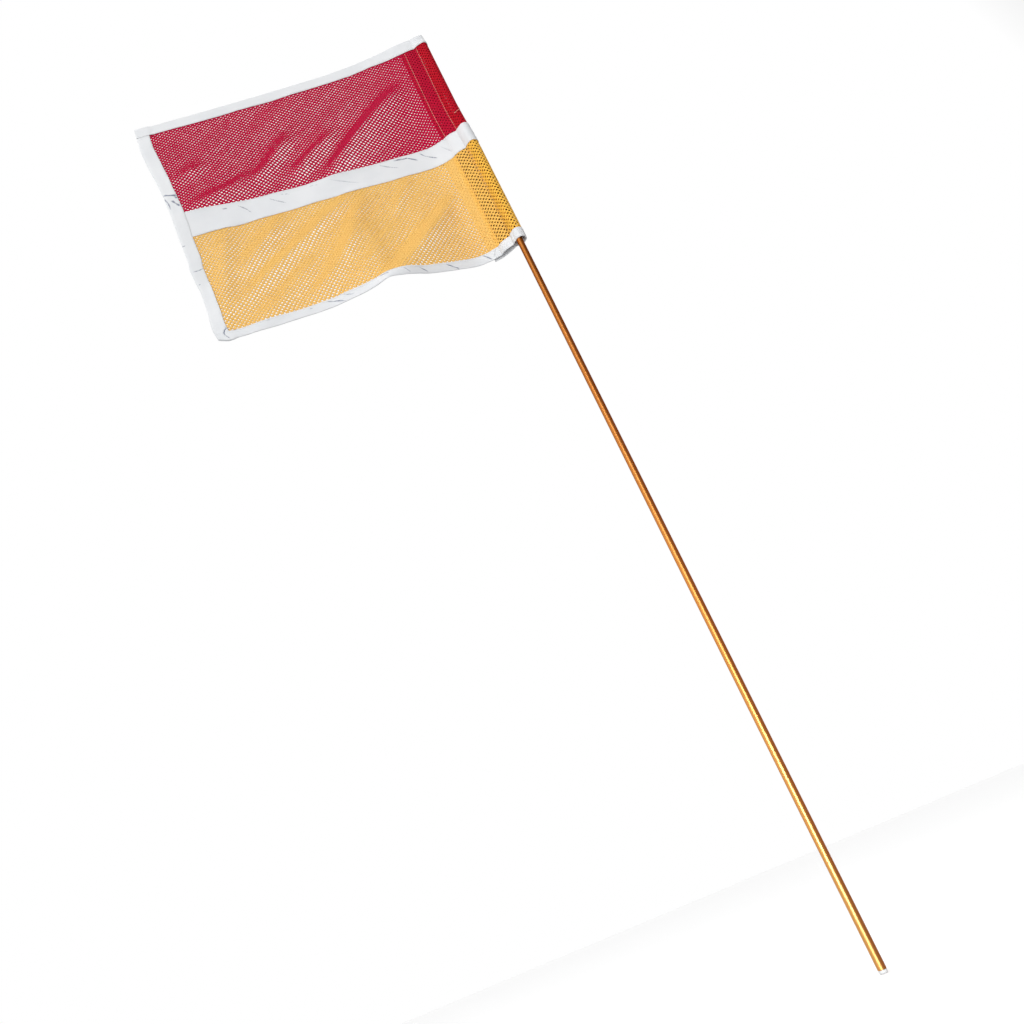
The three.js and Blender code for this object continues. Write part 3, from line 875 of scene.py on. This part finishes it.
def plug_material(name):
    mat, tree, shader = new_material(name, (0.8, 0.81, 0.82), 0.4)
    at = position(tree)
    drift = noise(tree, at, 300.0, 4.0)
    tree.links.new(ramp(tree, drift, [(0.3, (0.78, 0.79, 0.80)), (0.6, (0.88, 0.885, 0.89))]),
                   shader.inputs["Base Color"])
    tree.links.new(bump(tree, noise(tree, at, 1800.0), 0.4, 0.0001), shader.inputs["Normal"])
    return mat


# inner is the colour of the painted shade inside the hem
RED = fabric("red_mesh", web=(0.46, 0.002, 0.038), shade=(0.30, 0.001, 0.019),
             light=(0.68, 0.006, 0.074), low_fold=(0.55, 0.003, 0.044), taut=(0.47, 0.002, 0.014),
             inner=(0.08, 0.001, 0.005), thread_scale=620.0)
YELLOW = fabric("yellow_mesh", web=(0.87, 0.50, 0.135), shade=(0.74, 0.37, 0.077),
                light=(0.92, 0.64, 0.22), low_fold=(0.89, 0.56, 0.155), taut=(0.92, 0.50, 0.07),
                inner=(0.20, 0.07, 0.012), thread_scale=560.0)
WHITE = tape_material("white_tape")
THREAD = thread_material("thread", (0.78, 0.79, 0.80))
HEM_THREAD = thread_material("hem_thread", (0.86, 0.46, 0.34))
HEM_THREAD_LOW = thread_material("hem_thread_low", (0.86, 0.46, 0.12))
GOLD = pole_material("gold_metal")
PLUG = plug_material("plug_plastic")


# --- pole -------------------------------------------------------------------------------------
def dress(name, material):
    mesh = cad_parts[name].data
    mesh.materials.clear()
    mesh.materials.append(material)


dress("pole_tube", GOLD)
dress("foot_plug", PLUG)
dress("top_plug", PLUG)


def bend_at_hem(piece, slot, *nodes):
    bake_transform(piece)
    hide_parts(*nodes)


red = mesh_cloth("red_cloth", SEAM - 4.0, HOIST - 2.0, pitch_s=5.05, pitch_w=4.55, shear=-0.044,
                 hole=0.98, openings=(0.22, 0.16, 0.04, 0.0), thick=0.7, material=RED)
yellow = mesh_cloth("yellow_cloth", 1.5, SEAM - 4.6, pitch_s=4.85, pitch_w=4.85, shear=0.07,
                    hole=0.92, openings=(0.36, 0.06, 0.32, 0.5), thick=0.8, material=YELLOW)
bend_at_hem(red, "red_mesh", "red_sleeve", "red_panel")
bend_at_hem(yellow, "yellow_mesh", "yellow_sleeve", "yellow_panel")

band = band_tape("band_tape", WHITE)
bend_at_hem(band, "white_tape", "band_tape_wrap", "band_tape_front", "band_tape_back")

LEGS = np.concatenate([[0.4, 0.9], np.linspace(1.6, 14.0, 13)]) / 14.0


def fly_place(w, d):
    """Free edge tape: d in from the edge at height w."""
    return fly_edge(w) - d * fly_width(w) / 13.0, w


def top_place(u, d):
    """Top edge tape: d down from the edge at u out."""
    return u, HOIST - d * top_width(u) / 14.0


fly = folded("fly_edge_tape", np.linspace(4.0, HOIST - 3.0, 380), LEGS * 13.0, fly_place,
             lambda u, w: np.full_like(u, ON_BAND), WHITE)
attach(fly, "flag")
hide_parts("fly_tape")

top_u = np.concatenate([np.arange(FOLD_EDGE, 40.0, 0.6), np.arange(40.0, fly_edge(HOIST), 0.9),
                        [fly_edge(HOIST) + 1.0]])
top = folded("top_edge_tape", top_u, LEGS * 14.0, top_place, edge_layer, WHITE)
bend_at_hem(top, "white_tape", "top_tape_wrap", "top_tape")

round_foot = round_pole(float(fly_edge(0.0)) + 1.0)
foot = mouth_tape("foot_edge_tape", round_foot[round_foot >= BACK_EDGE + 0.3], LEGS * 10.0, WHITE)
bend_at_hem(foot, "white_tape", "foot_tape_wrap", "foot_tape")


# --- thread -----------------------------------------------------------------------------------
def line(start, end):
    (u0, w0), (u1, w1) = start, end
    return lambda t: (u0 + (u1 - u0) * t, w0 + (w1 - w0) * t)


for name, u in (("pocket", POCKET - 2.2), ("hem", HEM - 3.4)):
    row = stitches(name + "_sewing", joined(
        seam(line((u, foot_width(u) + 2.0), (u, band_low(u) - 1.0)), 0.0, True, 3.0),
        seam(line((u, band_low(u) + 0.5), (u, band_high(u) - 0.5)), ON_CLOTH, True, 3.0),
        seam(line((u, band_high(u) + 1.0), (u, HOIST - top_width(u) - 1.0)), 0.0, True, 3.0)),
        2.4, 0.22, HEM_THREAD)
    row.data.materials.append(THREAD)
    row.data.materials.append(HEM_THREAD_LOW)
    for face in row.data.polygons:
        w = face.center.z / MM - FLAG_FOOT
        face.material_index = 2 if w < band_low(u) else 1 if w < band_high(u) else 0
    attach(row, "pocket")
    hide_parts(name + "_stitch")


def tape_seam(stands_for, route, layer, pitch=2.6):
    """A row of stitches through a tape, showing on both its faces."""
    row = stitches(stands_for.replace("stitch", "sewing"),
                   joined(seam(route, layer, True, pitch), seam(route, layer, False, pitch)),
                   2.0, 0.17, THREAD)
    bend_at_hem(row, "thread", stands_for)


def outwards(start, length, height):
    """A route out along the flag from start, at the height that height(u) gives."""
    return lambda t: (start + length * t, height(start + length * t))


def beside_fly(t):
    """A route up the inner edge of the free edge's tape."""
    w = 10.0 + 305.0 * t
    return fly_edge(w) - fly_width(w) + 1.6, w


OUT_U = float(fly_edge(SEAM)) - 16.0
tape_seam("top_tape_stitch", outwards(3.0, FLY - 20.0, lambda u: HOIST + 1.6 - top_width(u)), ON_CLOTH)
tape_seam("foot_tape_stitch", outwards(12.0, OUT_U - 14.0, lambda u: foot_width(u) - 1.6), ON_CLOTH)
tape_seam("band_stitch_upper", outwards(12.0, OUT_U - 12.0, lambda u: band_high(u) - 1.5), ON_CLOTH)
tape_seam("band_stitch_lower", outwards(12.0, OUT_U - 12.0, lambda u: band_low(u) + 1.5), ON_CLOTH)
tape_seam("fly_tape_stitch", beside_fly, ON_BAND)

turns = np.linspace(0.0, 1.0, 60)
curl_u = -1.0 + 3.2 * np.sin(5.4 * turns) * (0.4 + 0.6 * turns) - 1.5 * turns
curl_w = 187.0 + 8.0 * turns + 2.4 * np.cos(5.4 * turns)
tail = swept("thread_curl", side_of(curl_u, curl_w, True, 0.7 + 2.0 * np.sin(2.6 * turns)), 0.24, HEM_THREAD)
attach(tail, "pocket")
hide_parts("thread_tail")

# --- stage, light and camera ------------------------------------------------------------------
scene = bpy.context.scene
scene.view_settings.view_transform = "Standard"


def studio(name, left, right, low_left, low_right):
    """White behind the flag and on its left; grey in front of it, darker on the right."""
    made = bpy.data.worlds.new(name)
    made.use_nodes = True
    tree = made.node_tree
    heading = node(tree, "ShaderNodeTexCoord").outputs["Generated"]
    parts = node(tree, "ShaderNodeSeparateXYZ", {"Vector": heading}).outputs

    def between(axis, low, high, at_low, at_high):
        return node(tree, "ShaderNodeMapRange", {"Value": parts[axis], "From Min": low, "From Max": high,
                                                 "To Min": at_low, "To Max": at_high}).outputs["Result"]

    def mixed(share, start, end):
        return node(tree, "ShaderNodeMix", {"Factor": share, "A": start, "B": end},
                    data_type="FLOAT").outputs["Result"]

    slant = node(tree, "ShaderNodeMath", {0: parts["X"], 1: -0.7, 2: parts["Y"]}, operation="MULTIPLY_ADD")
    behind = node(tree, "ShaderNodeMapRange", {"Value": slant.outputs["Value"], "From Min": -0.2,
                                               "From Max": 0.15})
    above = mixed(behind.outputs["Result"], between("X", -0.2, 0.5, left, right), 1.0)
    around = mixed(between("Z", -0.08, -0.02, 0.0, 1.0), between("X", -0.2, 0.5, low_left, low_right), above)
    tree.links.new(around, tree.nodes["Background"].inputs["Color"])
    return made


scene.world = studio("world", left=0.42, right=0.15, low_left=0.60, low_right=0.17)

floor_mat, _, _ = new_material("floor", (0.95, 0.95, 0.95), 0.9)
floor_mesh = bpy.data.meshes.new("floor")
floor_mesh.from_pydata([(-9, -9, 0), (9, -9, 0), (9, 9, 0), (-9, 9, 0)], [], [(0, 1, 2, 3)])
floor = bpy.data.objects.new("floor", floor_mesh)
floor_mesh.materials.append(floor_mat)
scene.collection.objects.link(floor)
floor.visible_diffuse = False
floor.visible_glossy = False


def area_light(name, at, towards, width, height, power, matte=True, mirrored=True, color=(1.0, 1.0, 1.0)):
    """A rectangular light. Without matte it only makes highlights; without mirrored it makes none."""
    data = bpy.data.lights.new(name, "AREA")
    data.shape, data.size, data.size_y = "RECTANGLE", width, height
    data.energy, data.color = power, color
    obj = bpy.data.objects.new(name, data)
    obj.location = at
    obj.rotation_euler = (Vector(towards) - Vector(at)).to_track_quat("-Z", "Y").to_euler()
    obj.visible_camera, obj.visible_diffuse, obj.visible_glossy = False, matte, mirrored
    scene.collection.objects.link(obj)


area_light("key", (-0.9, -1.4, 2.3), (-0.1, 0, 0.7), 1.8, 1.8, 12.0)
area_light("strip", (-0.78, -1.75, 0.8), (0, 0, 0.5), 0.25, 1.6, 12.0, matte=False)
area_light("low_strip", (-0.42, -0.95, 0.14), (0, 0, 0.1), 0.10, 0.28, 7.0, matte=False)
area_light("front", (-0.7, -1.8, 0.9), (-0.1, 0, 0.8), 1.2, 1.2, 12.5, mirrored=False)
area_light("fill", (0.9, -1.7, 0.2), (-0.1, 0, 0.75), 1.4, 1.4, 6.0, mirrored=False)
area_light("under", (0.1, -0.8, 0.06), (-0.1, 0, 0.72), 0.8, 0.8, 4.6, mirrored=False)
area_light("warm_card", (0.6, 0.0, 0.5), (0, 0, 0.5), 2.0, 1.8, 2.2, matte=False, color=(1.0, 0.28, 0.08))

sky = bpy.data.lights.new("overhead", "SUN")
sky.energy, sky.angle = 1.15, math.radians(80.0)
overhead = bpy.data.objects.new("overhead", sky)
scene.collection.objects.link(overhead)

camera = bpy.data.objects.new("camera", bpy.data.cameras.new("camera"))
camera.data.sensor_width = 36.0
camera.data.lens = 31.75
camera.data.clip_start = 0.02
scene.collection.objects.link(camera)
forward = Vector((0.0791, 0.9037, 0.4207)).normalized()
above = Vector((0.3499, -0.4203, 0.8372))
above = (above - forward * above.dot(forward)).normalized()
right = forward.cross(above)
turn = Matrix((right, above, -forward)).transposed()
camera.matrix_world = Matrix.Translation((-0.1747, -0.7059, 0.0926)) @ turn.to_4x4()
scene.camera = camera
